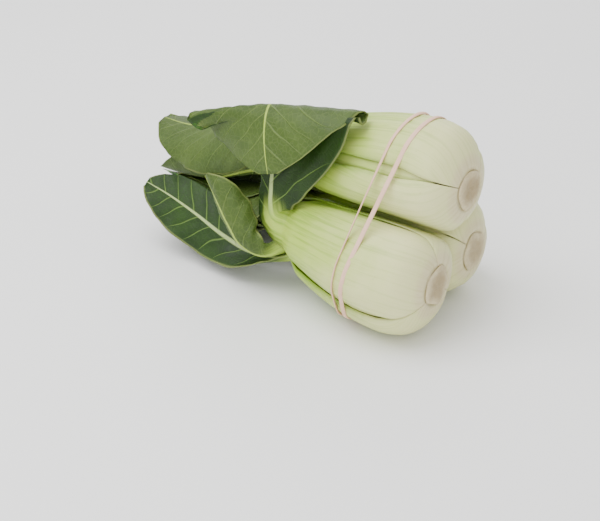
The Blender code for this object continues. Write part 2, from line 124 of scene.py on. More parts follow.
# Loose blades: the midrib's points from the stalk's top to the tip, each with the way that the
# outer face looks there, and (share of the length, width share low side, high side, cup in degrees).
LOOSE = {
    "head_b_leaf_1": {
        "path": (
            ((8, -34, 46.5), (0, -0.95, 0.3)), ((5.5, -33, 54), (-0.1, -1, 0.15)),
            ((5, -31.5, 62), (-0.12, -1, 0.12)), ((4, -29, 71.5), (-0.14, -0.97, 0.2)),
            ((2, -25.5, 82), (-0.12, -0.95, 0.28)), ((-1, -21.5, 92), (-0.08, -0.9, 0.35)),
            ((-2.5, -19, 98.5), (0.1, -0.75, 0)), ((-2.5, -22, 103), (0.2, -0.2, -1)),
            ((-0.5, -28, 101), (0.18, 0.5, -0.86)), ((2, -33.5, 93), (0.15, 0.85, -0.5)),
            ((5, -37, 83), (0.15, 0.93, -0.35)), ((8, -39, 73), (0.15, 0.95, -0.3)),
        ),
        "shape": ((0, 0.3, 0.3, 44), (0.08, 0.2, 0.24, 20), (0.2, 0.18, 0.4, 10),
                  (0.33, 0.22, 0.72, 4), (0.45, 0.45, 0.95, 2), (0.55, 0.82, 1.05, -8),
                  (0.63, 0.96, 1.08, -18), (0.74, 0.88, 0.95, -20), (0.85, 0.64, 0.7, -16),
                  (0.94, 0.38, 0.42, -10), (1, 0.12, 0.12, 0)),
    },
    "head_b_leaf_3": {
        "path": (
            ((0, -21, 13.6), (0, -0.1, -1)), ((-16, -23.5, 14), (0, 0.4, -0.9)),
            ((-33, -23.5, 18.5), (0, 0.78, -0.62)), ((-56, -20.5, 25), (0, 0.78, -0.62)),
            ((-76, -18.5, 30), (0, 0.75, -0.66)), ((-92, -17.5, 33), (0, 0.7, -0.7)),
        ),
        "shape": ((0, 0.62, 0.62, 44), (0.14, 0.34, 0.46, 30), (0.3, 0.26, 0.5, 8),
                  (0.45, 0.46, 0.6, -6), (0.6, 0.58, 0.66, -10), (0.75, 0.56, 0.64, -8),
                  (0.88, 0.44, 0.5, -2), (0.96, 0.28, 0.3, 0), (1, 0.12, 0.12, 0)),
    },
    "head_b_leaf_6": {
        "path": (
            ((3, -39, 24.6), (0, -0.8, -0.6)), ((-7, -43.5, 30), (0.1, -0.7, -0.7)),
            ((-15, -44.5, 41), (0.3, -0.6, -0.7)), ((-23, -43, 52), (0.4, -0.5, -0.7)),
            ((-32, -40, 62), (0.4, -0.5, -0.7)),
        ),
        "shape": ((0, 0.62, 0.45, 40), (0.15, 0.5, 0.4, 60), (0.3, 0.7, 0.7, 95),
                  (0.55, 1, 1, 110), (0.78, 0.95, 0.95, 100), (0.92, 0.6, 0.6, 80), (1, 0.2, 0.2, 40)),
    },
    "head_a_leaf_2": {
        "path": (
            ((0, 26, 61), (0, 0.95, -0.1)), ((-16, 38, 57), (0, 0.95, 0.3)),
            ((-35, 49, 48), (0, 0.85, 0.5)), ((-55, 58, 36), (0, 0.85, 0.5)),
            ((-72, 64, 23), (-0.3, 0.85, 0.4)), ((-84, 66, 13), (-0.4, 0.8, 0.3)),
        ),
        "shape": ((0, 0.6, 0.6, 40), (0.15, 0.4, 0.4, 26), (0.35, 0.78, 0.78, 24),
                  (0.55, 1, 1, 28), (0.75, 0.9, 0.9, 26), (0.9, 0.55, 0.55, 20), (1, 0.18, 0.18, 0)),
    },
    "head_c_leaf_2": {
        "path": (
            ((-8, 37, 12), (0, 0.5, -0.85)), ((-25, 41, 6), (0, 0.2, -0.97)),
            ((-50, 44, 1.8), (0, 0, -1)), ((-80, 44, 0.8), (0, 0, -1)),
            ((-104, 40, 1.2), (0, 0, -1)),
        ),
        "shape": ((0, 0.65, 0.65, 44), (0.16, 0.55, 0.55, 26), (0.35, 0.85, 0.85, 6),
                  (0.58, 1, 1, 4), (0.78, 0.9, 0.9, 4), (0.92, 0.55, 0.55, 4), (1, 0.18, 0.18, 0)),
    },
}

# The rubber band: a flat strip that goes round the bundle twice.
BAND_WIDTH = 2.6
BAND_THICKNESS = 1.0
BAND_FOOT_X = 56.0             # X of the band at the surface
BAND_LEAN = 0.17               # how far it moves to +X for each unit of height
BAND_SPREAD = 4.6              # how far each turn stands from the middle line on top of the bundle
BAND_CLOSEST = 1.9             # and just above the surface
BAND_OVER = 1.5                # how far one turn rides over the other where they cross below

# The looks' own dimensions, in millimetres.
BAND_LIFT = 0.35               # the band's clear space over the stalks
BAND_TWIST = 1.25              # greatest twist of the band's second turn, in radians
BAND_SECTIONS = 420            # sections round both turns
ROW_STEP = 2.6                 # from one row of points to the next along a stalk
LOOSE_STEP = 2.4               # and along a loose blade
ROLLED_ROWS = 38               # rows along a rolled blade
LEAF_COLUMNS = 39              # points across an outer or a middle leaf
INNER_COLUMNS = 25             # points across an inner leaf
CORE_SIDES = 72                # points round a cut stem
VEIN_SPACING = 11.0            # from one side vein to the next
VEIN_SLANT = -0.95             # how far a side vein falls back for each unit across
RIBS = ((0.16, 23, 1), (0.10, 41, 2))          # a stalk's ribs: height, rate across, share of the tone
DENT = 0.5                     # depth of the shallow dents in a stalk
PUCKER = 0.28                  # how far a blade sinks along a side vein
MARGIN_FROM = 0.62             # share of the half width at which a margin starts to wave
WAVES = (0.9, 0.5)             # heights of the margin's long and short waves
RUFFLE = {"head_b_leaf_1": 0.55, "head_b_leaf_3": 0.9, "head_b_leaf_6": 0.8}   # share of those heights
PLAIN_RUFFLE = 0.7             # and on every other leaf
TURNED = ("head_b_leaf_1",)    # the leaf whose dark face looks outwards
FLOOR_HEIGHT = 0.0004          # height of the floor, in metres


def smooth(keys, at):
    """Reads a smooth curve through keys, each (position, value, ...), at one or more positions."""
    knots = np.array([key[0] for key in keys], float)
    values = np.array([key[1:] for key in keys], float)
    slopes = np.gradient(values, knots, axis=0)
    place = np.clip(np.atleast_1d(np.asarray(at, float)), knots[0], knots[-1])
    index = np.clip(np.searchsorted(knots, place) - 1, 0, len(knots) - 2)
    span = (knots[index + 1] - knots[index])[:, None]
    t = (place - knots[index])[:, None] / span
    before = (2 * t ** 3 - 3 * t ** 2 + 1) * values[index] + (t ** 3 - 2 * t ** 2 + t) * span * slopes[index]
    after = (3 * t ** 2 - 2 * t ** 3) * values[index + 1] + (t ** 3 - t ** 2) * span * slopes[index + 1]
    return before + after


def value(keys, at):
    """Reads one number from a profile."""
    return float(smooth(keys, at)[0, 0])


def ease(share):
    """Goes from 0 to 1 with soft ends."""
    t = min(max(share, 0.0), 1.0)
    return t * t * (3 - 2 * t)


def unit(vector):
    return vector / np.linalg.norm(vector)


def axis_point(head, x):
    """The head's axis in the plane at x, as (y, z)."""
    return smooth(HEADS[head]["axis"], x)[0]


def head_radius(head, distance):
    return value(HEAD_RADIUS, distance) * HEADS[head]["size"]


def outward(angle):
    """Unit vectors in the (y, z) plane at an angle or angles in radians: front, top, back."""
    return np.stack([-np.cos(angle), np.sin(angle)], axis=-1)


def pressed(head, x, offsets):
    """Presses points round a head's axis flat where they meet another head or the surface."""
    centre = axis_point(head, x)
    result = offsets.copy()
    limits = []
    own = HEADS[head]["size"]
    for other in HEADS:
        if other != head:
            between = axis_point(other, x) - centre
            distance = np.linalg.norm(between)
            share = own / (own + HEADS[other]["size"])
            limits.append((between / distance, distance * share - HEAD_GAP, 0.6))
    limits.append((np.array([0.0, -1.0]), centre[1] - 0.02, 0.86))
    for direction, limit, free_share in limits:
        reach = result @ direction
        free = limit * free_share
        room = limit - free
        squeezed = free + room * np.tanh((reach - free) / room)
        moved = np.where(reach > free, squeezed - reach, 0.0)
        result = result + moved[..., None] * direction
    return centre + result


def nearest_turn(angle, middles):
    """The angle in radians to the nearest of the middles, given in degrees."""
    gaps = [np.abs((angle - math.radians(m) + math.pi) % (2 * math.pi) - math.pi) for m in middles]
    return np.min(gaps, axis=0)


def ring_middles(head, ring):
    return [HEADS[head]["first"] + leaf[1] for leaf in LEAVES[head] if leaf[0] == ring]


def stalk_radii(head, ring, distance, angle):
    """Outer and inner radius of a ring of stalks, at angles round the head."""
    floor = value(CORE_RADIUS, min(distance, 44.0)) + LEAF_GAP
    outer = None
    for layer in range(ring + 1):
        span = math.radians(value(HALF_SPAN[layer], distance))
        across = np.clip(nearest_turn(angle, ring_middles(head, layer)) / span, 0, 1)
        if layer == 0:
            outer = head_radius(head, distance) * (1 - CREASE * across ** 4)
        thickness = value(STALK_THICKNESS[layer], distance) * (1 - across ** 2.2)
        thickness = thickness + value(EDGE_THICKNESS, distance)
        inner = np.maximum(outer - thickness, floor)
        if layer < ring:
            outer = inner - LEAF_GAP
    return outer, inner


def rumple(head, distance, angle):
    """How far the rolled blades swell or sink, the same for every layer of a head."""
    turn = HEADS[head]["turn"]
    strength = ease((distance - 92) / 40)
    waves = 0.06 * np.sin(2 * angle + 0.045 * distance + turn)
    waves = waves + 0.045 * np.sin(3 * angle - 0.07 * distance + 2 * turn)
    return 1 + strength * waves


def rolled_row(head, leaf, layer, distance, columns):
    """Outer and inner points across a leaf of the roll, at one distance from the butt."""
    ring, turn, tip, half_width = leaf
    across = np.linspace(-1, 1, columns)
    sorted_share = ease((distance - BLEND_FROM) / (STALK_TOP - BLEND_FROM))
    opening = ease((distance - 120) / 90)
    flare = HEADS[head]["flare"] * (1 - 0.13 * layer) * opening
    blade_radius = HEADS[head]["roll"] - HEADS[head]["apart"] * layer + flare
    span = math.radians(value(HALF_SPAN[ring], distance))
    if distance > STALK_TOP:
        along = (distance - STALK_TOP) / (tip - STALK_TOP)
        neck = span * blade_radius * (1 - along) ** 2
        span = min((neck + half_width * value(BLADE_OUTLINE, along)) / blade_radius, 2.75)
    angle = math.radians(HEADS[head]["first"] + turn) + across * span
    outer, inner = stalk_radii(head, ring, distance, angle)
    rib = max(value(STALK_THICKNESS[ring], distance) * 0.5, 0.4)
    blade_half = 0.5 * (BLADE_EDGE + rib * (1 - np.abs(across)) ** 4)
    outer = (1 - sorted_share) * outer + sorted_share * (blade_radius + blade_half)
    inner = (1 - sorted_share) * inner + sorted_share * (blade_radius - blade_half)
    swell = rumple(head, distance, angle)
    x = HEADS[head]["butt"] - distance
    rows = []
    for radius in (outer, inner):
        points = pressed(head, x, outward(angle) * (radius * swell)[:, None])
        rows.append(np.column_stack([np.full(columns, x), points]))
    return rows


def loose_rows(name, last_outer, last_inner, half_width, columns):
    """Rows of a loose blade on its own path, with each row's distance and share along it."""
    data = LOOSE[name]
    start = 0.5 * (last_outer[columns // 2] + last_inner[columns // 2])
    facing = unit(last_outer[columns // 2] - last_inner[columns // 2])
    points = np.vstack([[start]] + [[p] for p, _ in data["path"]])
    faces = np.vstack([[facing]] + [[unit(np.array(f, float))] for _, f in data["path"]])
    steps = np.concatenate([[0], np.cumsum(np.linalg.norm(np.diff(points, axis=0), axis=1))])
    share = steps / steps[-1]
    keys = [(s, *p, *f) for s, p, f in zip(share, points, faces)]
    count = int(round(steps[-1] / LOOSE_STEP))
    places = np.linspace(0, 1, count + 1)
    line = smooth(keys, places)
    ahead = smooth(keys, np.clip(places + 0.01, 0, 1))[:, :3]
    tangents = ahead - smooth(keys, np.clip(places - 0.01, 0, 1))[:, :3]
    shape = smooth(data["shape"], places)
    across = np.linspace(-1, 1, columns)
    outer_rows = []
    inner_rows = []
    slack_outer = 0.0
    slack_inner = 0.0
    for i, place in enumerate(places):
        along = np.array([-1.0, 0.0, 0.0]) if i == 0 else unit(tangents[i])
        side = unit(np.cross(along, line[i, 3:]))
        face = np.cross(side, along)
        low, high, cup = shape[i]
        width = np.where(across < 0, low, high) * half_width
        bend = math.radians(cup if abs(cup) > 0.5 else 0.5)
        middle = line[i, :3] + np.outer(width * np.sin(across * bend) / bend, side)
        middle = middle - np.outer(width * (1 - np.cos(across * bend)) / bend, face)
        normal = np.outer(np.cos(across * bend), face) + np.outer(np.sin(across * bend), side)
        rib = max(2.6 * (1 - place * 1.5), 0.4)
        half = 0.5 * (BLADE_EDGE + rib * (1 - np.abs(across)) ** 4)
        outer = middle + normal * half[:, None]
        inner = middle - normal * half[:, None]
        if i == 0:
            slack_outer = last_outer - outer
            slack_inner = last_inner - inner
            continue
        fade = 1 - ease(place / 0.16)
        outer_rows.append(outer + slack_outer * fade)
        inner_rows.append(inner + slack_inner * fade)
    return outer_rows, inner_rows, places[1:] * steps[-1], places[1:]


def hull(points):
    """The convex outline of (y, z) points, anticlockwise."""
    ordered = sorted(map(tuple, points))
    chains = []
    for sequence in (ordered, ordered[::-1]):
        chain = []
        for p in sequence:
            while len(chain) > 1:
                (ax, ay), (bx, by) = chain[-2], chain[-1]
                if (bx - ax) * (p[1] - ay) - (by - ay) * (p[0] - ax) > 0:
                    break
                chain.pop()
            chain.append(p)
        chains.append(chain[:-1])
    return np.array(chains[0] + chains[1])


def band_outline(shift):
    """Outline of the bundle in the band's leaning plane, moved along X, as points by direction."""
    points = []
    angles = np.linspace(0, 2 * math.pi, 72, endpoint=False)
    for head in HEADS:
        for angle in angles:
            x = BAND_FOOT_X + shift + BAND_LEAN * axis_point(head, 50)[1]
            for _ in range(4):
                distance = HEADS[head]["butt"] - x
                radius = np.array([stalk_radii(head, 0, distance, np.array([angle]))[0][0]])
                place = pressed(head, x, outward(np.array([angle])) * radius[:, None])[0]
                x = BAND_FOOT_X + shift + BAND_LEAN * place[1]
            points.append(place)
    return hull(np.array(points))


def band_point(outline, direction, clearance):
    """The outline's furthest place in a direction, rounded a little and moved out."""
    total = np.zeros(2)
    turns = np.linspace(-0.16, 0.16, 9)
    for turn in turns:
        c, s = math.cos(turn), math.sin(turn)
        d = np.array([direction[0] * c - direction[1] * s, direction[0] * s + direction[1] * c])
        reach = outline @ d
        near = np.exp((reach - reach.max()) / 0.35)
        total = total + (outline * near[:, None]).sum(axis=0) / near.sum() + d * clearance
    return total / len(turns)


def outline_at(outline, share, clearance):
    """A point at a share of the way round an outline, with its outward direction."""
    closed = np.vstack([outline, outline[:1]])
    lengths = np.concatenate([[0], np.cumsum(np.linalg.norm(np.diff(closed, axis=0), axis=1))])
    place = (share % 1.0) * lengths[-1]
    point = np.array([np.interp(place, lengths, closed[:, k]) for k in (0, 1)])
    reach = 2.5
    ahead = np.array([np.interp((place + reach) % lengths[-1], lengths, closed[:, k]) for k in (0, 1)])
    behind = np.array([np.interp((place - reach) % lengths[-1], lengths, closed[:, k]) for k in (0, 1)])
    along = unit(ahead - behind)
    out = np.array([along[1], -along[0]])
    return point + out * clearance, out


def widened(outline, clearance):
    """The outline moved outwards and rounded, starting below the bundle."""
    angles = np.linspace(-math.pi / 2, 1.5 * math.pi, 181)[:-1]
    moved = []
    for angle in angles:
        moved.append(band_point(outline, np.array([math.cos(angle), math.sin(angle)]), clearance))
    return np.array(moved)


def core_corner(head):
    """Lowest corner of a head's core solid, in design millimetres."""
    angle = np.arange(14) * 2 * math.pi / 14
    rings = []
    for distance, radius in CORE_RADIUS:
        x = HEADS[head]["butt"] - distance
        ring = axis_point(head, x) + outward(angle) * radius
        rings.append(np.column_stack([np.full(14, x), ring]))
    return np.vstack(rings).min(axis=0)


PLACE = np.array(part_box("head_b_core")[0]) / MM - core_corner("b")
LOWEST = 0.02 - PLACE[2]       # the surface, in design millimetres


# ---------------------------------------------------------------- meshes

def add_piece(name, node, vertices, faces, shader, values):
    """Makes a piece from points in millimetres, with one value a point for each named attribute."""
    mesh = bpy.data.meshes.new(name)
    mesh.from_pydata([tuple(v) for v in (np.asarray(vertices) + PLACE) * MM], [], faces)
    for label, numbers in values.items():
        layer = mesh.attributes.new(label, "FLOAT", "POINT")
        layer.data.foreach_set("value", np.asarray(numbers, dtype=np.float32))
    mesh.materials.append(shader)
    mesh.shade_smooth()
    mesh.update()
    piece = bpy.data.objects.new(name, mesh)
    bpy.context.collection.objects.link(piece)
    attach(piece, "root")
    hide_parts(node)
    return piece


def sheet_faces(rows, columns):
    """Faces of a closed leaf: an outer sheet, an inner sheet and the rim between them."""
    under = rows * columns
    faces = []
    for r in range(rows - 1):
        for c in range(columns - 1):
            a = r * columns + c
            d = a + columns
            faces.append((a, a + 1, d + 1, d))
            faces.append((under + a, under + d, under + d + 1, under + a + 1))
    rim = list(range(columns))
    rim += [r * columns + columns - 1 for r in range(1, rows)]
    rim += [(rows - 1) * columns + c for c in range(columns - 2, -1, -1)]
    rim += [r * columns for r in range(rows - 2, 0, -1)]
    for here, there in zip(rim, rim[1:] + rim[:1]):
        faces.append((there, here, under + here, under + there))
    return faces


def finish_leaf(head, number, outer, inner, along, blade):
    """Adds ribs, puckers and a rumpled margin to a leaf's two sheets and makes the piece."""
    name = f"head_{head}_leaf_{number}"
    rows, columns, _ = outer.shape
    across = np.linspace(-1, 1, columns)[None, :] * np.ones((rows, 1))
    middle = 0.5 * (outer + inner)
    steps = np.linalg.norm(np.diff(middle, axis=1), axis=2)
    breadth = np.concatenate([np.zeros((rows, 1)), np.cumsum(steps, axis=1)], axis=1)
    breadth = breadth - breadth[:, columns // 2][:, None]
    tone = 0.37 * number + 1.9 * list(HEADS).index(head)
    normal = outer - inner
    normal = normal / np.maximum(np.linalg.norm(normal, axis=2), 1e-6)[..., None]
    every = np.ones((1, columns))
    down = along[:, None] * every
    leafy = np.clip(blade * 5, 0, 1)[:, None] * every
    # Lengthwise ribs and shallow dents, on the stalk's outer face only.
    stem = np.clip((down - 14) / 20, 0, 1) * (1 - leafy)
    ribs = sum(height * np.sin(across * rate + share * tone) for height, rate, share in RIBS)
    ribs = ribs * (1 - np.abs(across) ** 4)
    outer = outer + normal * (ribs * stem)[..., None]
    dents = DENT * np.sin(down * 0.055 + 2.1 * across + 3 * tone) * np.sin(down * 0.031 - 1.7 * across)
    outer = outer + normal * (dents * np.clip((down - 8) / 20, 0, 1) * (1 - leafy))[..., None]
    # The blade sinks along its side veins and its margin waves, both faces together.
    reach = np.abs(breadth)
    crest = np.cos(2 * math.pi * (down + VEIN_SLANT * reach) / VEIN_SPACING + tone)
    pucker = -PUCKER * crest * np.clip(reach / 6, 0, 1) * leafy
    margin = np.clip((np.abs(across) - MARGIN_FROM) / (1 - MARGIN_FROM), 0, 1) ** 1.6
    ruffle = WAVES[0] * np.sin(down * 0.23 + 5 * tone + 1.3 * np.sign(across))
    ruffle = ruffle + WAVES[1] * np.sin(down * 0.51 + 2 * tone)
    move = pucker + ruffle * margin * leafy * RUFFLE.get(name, PLAIN_RUFFLE)
    outer = outer + normal * move[..., None]
    inner = inner + normal * move[..., None]
    inner[..., 2] = np.maximum(inner[..., 2], LOWEST)
    outer[..., 2] = np.maximum(outer[..., 2], LOWEST)
    vertices = np.vstack([outer.reshape(-1, 3), inner.reshape(-1, 3)])
    half = np.maximum(breadth[:, -1:], -breadth[:, :1]) * every
    sheets = {"along": down, "breadth": breadth, "across": across, "half_width": half,
              "blade": blade[:, None] * every}
    values = {label: np.tile(sheet.ravel(), 2) for label, sheet in sheets.items()}
    outer_is_upper = 1.0 if name in TURNED else 0.0
    values["upper"] = np.repeat([outer_is_upper, 1.0 - outer_is_upper], rows * columns)
    values["tone"] = np.full(2 * rows * columns, tone % 3.0)
    faces = sheet_faces(rows, columns)
    return add_piece(name + "_skin", name, vertices, faces, leaf_finish, values)


def make_leaf(head, number, layer):
    """One whole leaf, rolled or loose."""
    leaf = LEAVES[head][number - 1]
    ring, _, tip, half_width = leaf
    columns = INNER_COLUMNS if ring == 2 else LEAF_COLUMNS
    first = STATIONS[RING_START[ring]]
    loose = tip == 0
    last = LOOSE_FROM if loose else STALK_TOP
    stations = [first, first + 0.5, first + 1.4] + list(np.arange(first + 3, last - 1, ROW_STEP)) + [last]
    if not loose:
        stations += list(np.linspace(STALK_TOP, tip - 0.6, ROLLED_ROWS)[1:])
    outer_rows = []
    inner_rows = []
    for distance in stations:
        outer, inner = rolled_row(head, leaf, layer, distance, columns)
        outer_rows.append(outer)
        inner_rows.append(inner)
    along = list(stations)
    blade = [0.0 if d <= STALK_TOP or loose else (d - STALK_TOP) / (tip - STALK_TOP) for d in stations]
    if loose:
        name = f"head_{head}_leaf_{number}"
        more = loose_rows(name, outer_rows[-1], inner_rows[-1], half_width, columns)
        outer_rows += more[0]
        inner_rows += more[1]
        along += list(last + more[2])
        blade += list(more[3])
    sheets = (np.array(part) for part in (outer_rows, inner_rows, along, blade))
    return finish_leaf(head, number, *sheets)


def make_core(head):
    """The cut stem, with a slightly hollow, uneven cut face."""
    sides = CORE_SIDES
    angle = np.arange(sides) * 2 * math.pi / sides
    seed = HEADS[head]["turn"]
    profile = [(-0.9, 1.5), (-1.1, 4.0), (-1.25, 6.6), (-1.2, 8.4), (-0.9, 9.6), (-0.3, 10.4)]
    profile += [(d, value(CORE_RADIUS, d)) for d in (0.8, 2, 4, 9, 17, 30, 44)]
    vertices = []
    away = []
    for distance, radius in profile:
        x = HEADS[head]["butt"] - distance
        wobble = 1 + 0.05 * np.sin(3 * angle + seed) + 0.03 * np.sin(5 * angle + 2 * seed)
        ring = axis_point(head, x) + outward(angle) * (radius * wobble)[:, None]
        lift = 0.25 * np.sin(4 * angle + seed) * (1 if distance < 0 else 0)
        vertices.append(np.column_stack([x + lift, ring]))
        away += [radius] * sides
    last = len(vertices) - 1
    faces = [tuple(range(sides)), tuple(last * sides + i for i in range(sides - 1, -1, -1))]
    for r in range(last):
        for i in range(sides):
            j = (i + 1) % sides
            a = r * sides
            faces.append((a + i, a + sides + i, a + sides + j, a + j))
    depth = np.repeat([d for d, _ in profile], sides)
    values = {"away": away, "depth": depth, "tone": np.full(len(away), seed)}
    name = f"head_{head}_core"
    return add_piece(name + "_skin", name, np.vstack(vertices), faces, cut_finish, values)


def make_band():
    """The rubber band: one strip round the bundle twice, flat on one turn and twisted on the other."""
    steps = BAND_SECTIONS
    turns = {}
    for side in (1, -1):
        turns[side] = widened(band_outline(side * 0.5 * BAND_SPREAD), BAND_LIFT)
    section = np.linspace(0, 2 * math.pi, 13)[:-1]
    vertices = []
    for i in range(steps):
        share = 2.0 * i / steps
        place = share % 1.0
        first_turn = share < 1.0
        front = math.sin(math.pi * place) ** 2
        side = 1 if first_turn else -1
        cross = ease(min(place, 1 - place) / 0.06)
        apart = (BAND_CLOSEST + (BAND_SPREAD - BAND_CLOSEST) * front) * side * cross
        over = share > 1.5 or share < 0.5
        ride = (1 - cross) * BAND_OVER if over else 0.0
        point, out = outline_at(turns[side], 1.0 - place, ride + 0.5 * BAND_THICKNESS)
        x = BAND_FOOT_X + BAND_LEAN * point[1] + apart
        twist = 0.0 if first_turn else BAND_TWIST * math.sin(2 * math.pi * place) * cross
        wide = np.array([math.cos(twist), math.sin(twist) * out[0], math.sin(twist) * out[1]])
        high = np.array([-math.sin(twist), math.cos(twist) * out[0], math.cos(twist) * out[1]])
        half = 0.5 * BAND_WIDTH * (1.0 if first_turn else 0.8)
        thick = 0.42 * BAND_THICKNESS
        for a in section:
            w = np.sign(math.cos(a)) * abs(math.cos(a)) ** 0.55 * half
            t = np.sign(math.sin(a)) * abs(math.sin(a)) ** 0.8 * thick
            vertices.append(np.array([x, point[0], point[1]]) + wide * w + high * t)
    count = len(section)
    faces = []
    for i in range(steps):
        j = (i + 1) % steps
        for k in range(count):
            m = (k + 1) % count
            faces.append((count * i + k, count * j + k, count * j + m, count * i + m))
    run = np.repeat(np.arange(steps) * 1.1, count)
    values = {"run": run}
    return add_piece("rubber_band_skin", "rubber_band", vertices, faces, rubber_finish, values)


# ---------------------------------------------------------------- finishes

def rgb(red, green, blue):
    """A colour from screen values to the shader's linear ones."""
    linear = [v / 12.92 if v <= 0.04045 else ((v + 0.055) / 1.055) ** 2.4 for v in (red, green, blue)]
    return (*linear, 1.0)


def feed(tree, source, socket):
    """Links a node's output to a socket, or sets the socket to a number."""
    if isinstance(source, bpy.types.NodeSocket):
        tree.links.new(source, socket)
    else:
        socket.default_value = source


def sums(tree, operation, a, b=0.0, c=None, clamp=False):
    node = tree.nodes.new("ShaderNodeMath")
    node.operation = operation
    node.use_clamp = clamp
    feed(tree, a, node.inputs[0])
    feed(tree, b, node.inputs[1])
    if c is not None:
        feed(tree, c, node.inputs[2])
    return node.outputs[0]


def step(tree, at, low, high):
    """Goes smoothly from 0 at low to 1 at high."""
    node = tree.nodes.new("ShaderNodeMapRange")
    node.interpolation_type = "SMOOTHSTEP"
    feed(tree, at, node.inputs["Value"])
    feed(tree, low, node.inputs["From Min"])
    feed(tree, high, node.inputs["From Max"])
    return node.outputs["Result"]


def blend(tree, share, a, b):
    node = tree.nodes.new("ShaderNodeMix")
    node.data_type = "RGBA"
    feed(tree, share, node.inputs[0])
    feed(tree, a, node.inputs[6])
    feed(tree, b, node.inputs[7])
    return node.outputs[2]


def attribute(tree, name):
    node = tree.nodes.new("ShaderNodeAttribute")
    node.attribute_type = "GEOMETRY"
    node.attribute_name = name
    return node.outputs["Fac"]


def place(tree, x, y, z):
    node = tree.nodes.new("ShaderNodeCombineXYZ")
    feed(tree, x, node.inputs[0])
    feed(tree, y, node.inputs[1])
    feed(tree, z, node.inputs[2])
    return node.outputs[0]


def cloud(tree, where, scale, detail=3.0, rough=0.55):
    node = tree.nodes.new("ShaderNodeTexNoise")
    feed(tree, where, node.inputs["Vector"])
    node.inputs["Scale"].default_value = scale
    node.inputs["Detail"].default_value = detail
    node.inputs["Roughness"].default_value = rough
    return node.outputs["Fac"]


def new_group(name, inputs, outputs):
    """An empty shader node group with float inputs and outputs."""
    tree = bpy.data.node_groups.new(name, "ShaderNodeTree")
    for label, start in inputs:
        socket = tree.interface.new_socket(label, in_out="INPUT", socket_type="NodeSocketFloat")
        socket.default_value = start
    for label in outputs:
        tree.interface.new_socket(label, in_out="OUTPUT", socket_type="NodeSocketFloat")
    return tree, tree.nodes.new("NodeGroupInput").outputs, tree.nodes.new("NodeGroupOutput").inputs


def use(tree, group, **values):
    node = tree.nodes.new("ShaderNodeGroup")
    node.node_tree = group
    for label, source in values.items():
        feed(tree, source, node.inputs[label.replace("_", " ")])
    return node.outputs


def vein_group():
    """Midrib, side veins and the fine net between them, from millimetres along and across a blade."""
    tree, given, result = new_group("leaf veins", (
        ("Along", 0.0), ("Breadth", 0.0), ("Blade", 0.0), ("Half width", 20.0), ("Tone", 0.0)),
        ("Midrib", "Side veins", "Fine net", "Rim"))
    reach = sums(tree, "ABSOLUTE", given["Breadth"])
    share = sums(tree, "DIVIDE", reach, sums(tree, "MAXIMUM", given["Half width"], 1.0))
    where = place(tree, given["Along"], given["Breadth"], sums(tree, "MULTIPLY", given["Tone"], 31.0))
    sway = sums(tree, "MULTIPLY", sums(tree, "SUBTRACT", cloud(tree, where, 0.045, 1.0), 0.5), 9.0)
    slim = sums(tree, "MULTIPLY_ADD", given["Blade"], -2.0, 2.3)
    feed(tree, step(tree, reach, slim, sums(tree, "MULTIPLY", slim, 0.45)), result["Midrib"])
    bent = sums(tree, "MULTIPLY", sums(tree, "POWER", reach, 2.0), 0.008)
    slant = sums(tree, "ADD", sums(tree, "MULTIPLY", reach, VEIN_SLANT), bent)
    swayed = sums(tree, "ADD", sums(tree, "ADD", given["Along"], slant), sway)
    phase = sums(tree, "DIVIDE", swayed, VEIN_SPACING)
    sided = sums(tree, "MULTIPLY_ADD", sums(tree, "SIGN", given["Breadth"]), 0.22, phase)
    saw = sums(tree, "ABSOLUTE", sums(tree, "SUBTRACT", sums(tree, "FRACT", sided), 0.5))
    gap = sums(tree, "MULTIPLY", saw, VEIN_SPACING * 0.72)
    wide = sums(tree, "MULTIPLY_ADD", share, -0.5, 0.68)
    thread = step(tree, gap, wide, sums(tree, "MULTIPLY", wide, 0.25))
    fading = step(tree, share, 1.02, 0.7)
    feed(tree, sums(tree, "MULTIPLY", thread, fading), result["Side veins"])
    cells = tree.nodes.new("ShaderNodeTexVoronoi")
    cells.feature = "DISTANCE_TO_EDGE"
    feed(tree, where, cells.inputs["Vector"])
    cells.inputs["Scale"].default_value = 0.34
    feed(tree, step(tree, cells.outputs["Distance"], 0.09, 0.015), result["Fine net"])
    left = sums(tree, "SUBTRACT", given["Half width"], reach)
    feed(tree, step(tree, left, 1.5, 0.35), result["Rim"])
    return tree


def rib_group():
    """Fine lengthwise fibres of a stalk and soft cloudy patches."""
    tree, given, result = new_group("stalk fibres", (("Along", 0.0), ("Breadth", 0.0), ("Tone", 0.0)),
                                    ("Fibres", "Patches", "Pits"))
    far = sums(tree, "MULTIPLY", given["Tone"], 23.0)
    stretched = place(tree, sums(tree, "MULTIPLY", given["Along"], 0.035), given["Breadth"], far)
    feed(tree, cloud(tree, stretched, 0.62, 4.0, 0.62), result["Fibres"])
    plain = place(tree, given["Along"], given["Breadth"], far)
    feed(tree, cloud(tree, plain, 0.05, 3.0, 0.5), result["Patches"])
    feed(tree, step(tree, cloud(tree, plain, 0.55, 2.0, 0.5), 0.70, 0.76), result["Pits"])
    return tree


def bump(tree, height, distance, strength=1.0):
    node = tree.nodes.new("ShaderNodeBump")
    node.inputs["Strength"].default_value = strength
    node.inputs["Distance"].default_value = distance
    feed(tree, height, node.inputs["Height"])
    return node.outputs["Normal"]


def new_material(name):
    shader = bpy.data.materials.new(name)
    shader.use_nodes = True
    return shader, shader.node_tree, shader.node_tree.nodes["Principled BSDF"]


